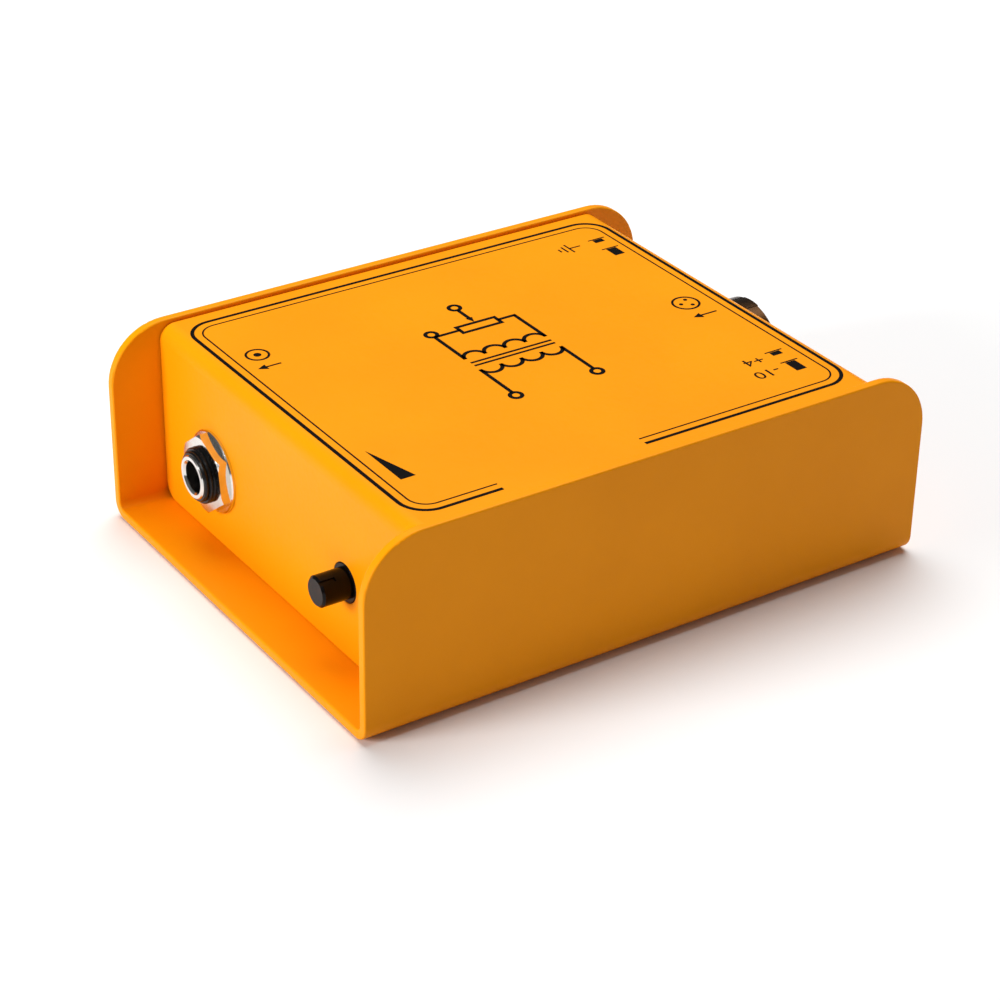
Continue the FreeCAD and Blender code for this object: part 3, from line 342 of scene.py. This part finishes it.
def numbers(text, x_low, x_high, y_low, y_high):
    """Plain figures that fill a box on the cover, reading along -Y with tops towards +X."""
    curve = bpy.data.curves.new("figures", "FONT")
    curve.body = text
    curve.resolution_u = 5
    curve.extrude = 0.5
    holder = bpy.data.objects.new("figures", curve)
    scene.collection.objects.link(holder)
    bpy.context.view_layer.update()
    mesh = bpy.data.meshes.new_from_object(
        holder.evaluated_get(bpy.context.evaluated_depsgraph_get()))
    bpy.data.objects.remove(holder)
    bpy.data.curves.remove(curve)
    low = Vector(min(v.co[axis] for v in mesh.vertices) for axis in range(3))
    high = Vector(max(v.co[axis] for v in mesh.vertices) for axis in range(3))
    for vertex in mesh.vertices:
        along = (vertex.co.x - low.x) / (high.x - low.x)
        up = (vertex.co.y - low.y) / (high.y - low.y)
        level = (vertex.co.z - low.z) / (high.z - low.z)
        vertex.co = ((x_low + up * (x_high - x_low)) * MM, (y_high - along * (y_high - y_low)) * MM,
                     INK_LOW + (INK_HIGH - INK_LOW) * level)
    return mesh


def round_path(x, y, radius, turns):
    """Points round a centre, one for each turn in radians."""
    return [(x + radius * math.cos(turn), y + radius * math.sin(turn)) for turn in turns]


def whole_turn(steps):
    return [math.tau * step / steps for step in range(steps)]


def arc(x, y, radius, start, end, width):
    """Part of a ring of ink. Angles in degrees, anticlockwise from +X."""
    turns = [math.radians(start + (end - start) * step / CURVE_STEPS)
             for step in range(CURVE_STEPS + 1)]
    return ribbon(round_path(x, y, radius, turns), width)


def ring(x, y, radius, width):
    return ribbon(round_path(x, y, radius, whole_turn(RING_STEPS)), width, closed=True)


def disk(x, y, radius):
    return slab(round_path(x, y, radius, whole_turn(CURVE_STEPS)))


def arrow(x, y_tail, y_tip):
    """A straight arrow along Y."""
    width, head = 0.45, 1.5
    way = 1 if y_tip > y_tail else -1
    neck = y_tip - way * head * 1.3
    return [bar(x - width / 2, x + width / 2, min(y_tail, neck), max(y_tail, neck)),
            slab([(x - head * 0.7, neck), (x + head * 0.7, neck), (x, y_tip)])]


def print_border():
    """Two lines round the cover, both open over a stretch of the right side."""
    gap_high, gap_low = 0.2, -31.8
    for name, half_x, half_y, width, radius in (
        ("border_outer", 44.2, 50.6, 0.8, 5.7),
        ("border_inner", 42.2, 48.6, 0.35, 4.0),
    ):
        corners = rounded_box(-half_x, half_x, -half_y, half_y, radius)
        per_corner = len(corners) // 4
        path = [(half_x, gap_high)] + corners[per_corner:] + corners[:per_corner]
        path.append((half_x, gap_low))
        print_piece(name, [ribbon(path, width)])


def print_output_sign():
    """A jack seen end on, and an arrow out of the front."""
    x, y, outer, inner, line = -26, -43.5, 2.3, 0.8, 0.5
    jack = [ring(x, y, outer, line), disk(x, y, inner)]
    print_piece("sign_output", jack + arrow(-20.5, -41.2, -46.4))


def print_level_sign():
    """A wedge that rises towards the right."""
    print_piece("sign_level", [slab([(19.0, -45.8), (31.6, -45.8), (31.6, -42.6)])])


def print_input_sign():
    """A three-pin socket seen end on, and an arrow in from the rear."""
    x, y, outer, pin, line = 0, 42.8, 2.8, 0.45, 0.5
    pins = [disk(*place, pin) for place in ((-1.3, 43.6), (1.3, 43.6), (0.0, 41.6))]
    print_piece("sign_input", [ring(x, y, outer, line)] + pins + arrow(6.2, 46.0, 40.2))


def print_ground_sign():
    """Three bars that shorten, under a stem: the sign for earth."""
    x, half_line, top, stem_top = -34.6, 0.2, 37.6, 40.4
    bars = [bar(x - half, x + half, y - half_line, y + half_line)
            for half, y in ((2.1, top), (1.4, 36.4), (0.7, 35.2))]
    print_piece("sign_ground", bars + [bar(x - half_line, x + half_line, top, stem_top)])


def print_range_figures():
    """The two input levels, as plain numbers."""
    print_piece("sign_range", [
        numbers("+4", 27.0, 29.8, 36.0, 40.5),
        numbers("-10", 32.4, 35.2, 34.6, 40.5),
    ])


def print_button_signs():
    """Beside each switch: a button pushed in against its panel line, and one standing out."""
    panel_half, panel_reach, button_reach, button_start = 0.17, 2.1, 1.2, 0.3
    ground_y, level_y = 45.3, 44.4
    signs = []
    for x, rise, y in (
        (-35.6, 1.7, ground_y),
        (-30.4, 3.8, ground_y),
        (26.8, 1.7, level_y),
        (31.8, 4.2, level_y),
    ):
        signs.append(bar(x - panel_half, x + panel_half, y - panel_reach, y + panel_reach))
        signs.append(bar(x + button_start, x + rise, y - button_reach, y + button_reach))
    print_piece("button_signs", signs)


DRAWING_LINE = 0.85
DRAWING_HALF = 9.6
COIL_X = 2.6
WIRE_END = 14.0
TERMINAL_X = 15.3
TERMINAL_RADIUS = 1.2
RESISTOR_LOW = -3.6
RESISTOR_HIGH = 5.6


def terminal(x, y):
    return ring(x, y, TERMINAL_RADIUS, DRAWING_LINE)


def wire_along_x(x_low, x_high, y):
    return bar(x_low, x_high, y - DRAWING_LINE / 2, y + DRAWING_LINE / 2)


def wire_along_y(x, y_low, y_high):
    return bar(x - DRAWING_LINE / 2, x + DRAWING_LINE / 2, y_low, y_high)


def transformer_lines():
    """Two coils of four loops each, with a core line beside each coil."""
    radius, loops, core_x, core_half = 2.4, 4, 0.7, 0.3
    lines = []
    for side in (-1, 1):
        for loop in range(loops):
            y = DRAWING_HALF - radius - 2 * radius * loop
            lines.append(arc(side * COIL_X, y, radius, 90, 90 - side * 180, DRAWING_LINE))
        lines.append(bar(side * core_x - core_half, side * core_x + core_half,
                         -DRAWING_HALF, DRAWING_HALF))
    return lines


def wire_lines():
    """The wires out of both coils, three of them to a terminal."""
    lines = []
    for y in (DRAWING_HALF, -DRAWING_HALF):
        lines.append(wire_along_x(COIL_X, WIRE_END, y))
        lines.append(wire_along_x(-WIRE_END, -COIL_X, y))
        lines.append(terminal(TERMINAL_X, y))
    lines.append(terminal(-TERMINAL_X, -DRAWING_HALF))
    return lines


def level_lines():
    """A resistor across the left coil, with a wiper that leads to the last terminal."""
    half, wiper_y = 1.4, 1.0
    near, far = half - WIRE_END, -half - WIRE_END
    resistor = [(near, RESISTOR_HIGH), (far, RESISTOR_HIGH), (far, RESISTOR_LOW),
                (near, RESISTOR_LOW)]
    return [
        ribbon(resistor, DRAWING_LINE, closed=True),
        wire_along_y(-WIRE_END, RESISTOR_HIGH, DRAWING_HALF + DRAWING_LINE / 2),
        wire_along_y(-WIRE_END, -DRAWING_HALF, RESISTOR_LOW),
        wire_along_x(-22.0, -17.6, wiper_y),
        slab([(-17.8, wiper_y + 0.8), (-17.8, wiper_y - 0.8), (-15.8, wiper_y)]),
        terminal(-23.2, wiper_y),
    ]


def print_circuit():
    """An open line drawing of what the box does: line in, transformer, level, out."""
    print_piece("circuit_drawing", transformer_lines() + wire_lines() + level_lines())


# ---- Floor, lights, camera ----

def make_floor():
    """A pale floor, set a hair below the base so that the two faces don't coincide."""
    reach, drop, cloud_grain = 3.0, -0.3 * MM, 0.4
    mesh = bpy.data.meshes.new("floor")
    corners = [(-reach, -reach, drop), (reach, -reach, drop),
               (reach, reach, drop), (-reach, reach, drop)]
    mesh.from_pydata(corners, [], [(0, 1, 2, 3)])
    shader = Shader("floor", Specular_IOR_Level=0.0, Roughness=0.9)
    cloud = shader.noise(cloud_grain)
    shader.color(cloud, [(0.3, 0.93), (0.7, 0.96)])
    mesh.materials.append(shader.material)
    floor = bpy.data.objects.new("floor", mesh)
    scene.collection.objects.link(floor)


BOX_MIDDLE = Vector((0, 0, 20 * MM))


def softbox(name, azimuth, elevation, distance, size, power):
    """An area light that faces the box. Azimuth 0 is in front of it, and 90 at its right."""
    turn, rise = math.radians(azimuth), math.radians(elevation)
    back = Vector((math.sin(turn) * math.cos(rise), -math.cos(turn) * math.cos(rise), math.sin(rise)))
    lamp = bpy.data.lights.new(name, "AREA")
    lamp.shape = "DISK"
    lamp.size = size
    lamp.energy = power
    holder = bpy.data.objects.new(name, lamp)
    holder.location = BOX_MIDDLE + back * distance
    holder.rotation_euler = (-back).to_track_quat("-Z", "Y").to_euler()
    scene.collection.objects.link(holder)


def make_lights():
    """A wide soft light high behind the left, a smaller one low in front, and a faint sky."""
    sky_strength = 0.12
    world = bpy.data.worlds.new("studio")
    world.use_nodes = True
    air = world.node_tree.nodes["Background"]
    air.inputs["Color"].default_value = (1, 1, 1, 1)
    air.inputs["Strength"].default_value = sky_strength
    scene.world = world
    softbox("top_light", azimuth=228, elevation=72, distance=1.15, size=1.15, power=15.2)
    softbox("front_light", azimuth=-8, elevation=17, distance=1.2, size=0.45, power=10.4)
    scene.view_settings.view_transform = "Standard"


def make_camera():
    """Long lens from the right of the front, 30 degrees above the table."""
    azimuth, elevation, roll = math.radians(55.93), math.radians(29.95), math.radians(0.986)
    place = Vector((0.40217, -0.27415, 0.28785))
    back = Vector((math.sin(azimuth) * math.cos(elevation),
                   -math.cos(azimuth) * math.cos(elevation), math.sin(elevation)))
    right = (-back).cross(Vector((0, 0, 1))).normalized()
    up = right.cross(-back)
    right_rolled = right * math.cos(roll) + up * math.sin(roll)
    up_rolled = up * math.cos(roll) - right * math.sin(roll)
    lens = bpy.data.cameras.new("camera")
    lens.lens = 98.76
    lens.sensor_width = 36.0
    lens.shift_x = -0.0017
    lens.clip_start, lens.clip_end = 0.01, 20.0
    camera = bpy.data.objects.new("camera", lens)
    turn = Matrix((right_rolled, up_rolled, back)).transposed()
    camera.matrix_world = Matrix.Translation(place) @ turn.to_4x4()
    scene.collection.objects.link(camera)
    scene.camera = camera


make_camera()
make_lights()
make_floor()
dress_frame()
print_border()
print_output_sign()
print_level_sign()
print_input_sign()
print_ground_sign()
print_range_figures()
print_button_signs()
print_circuit()
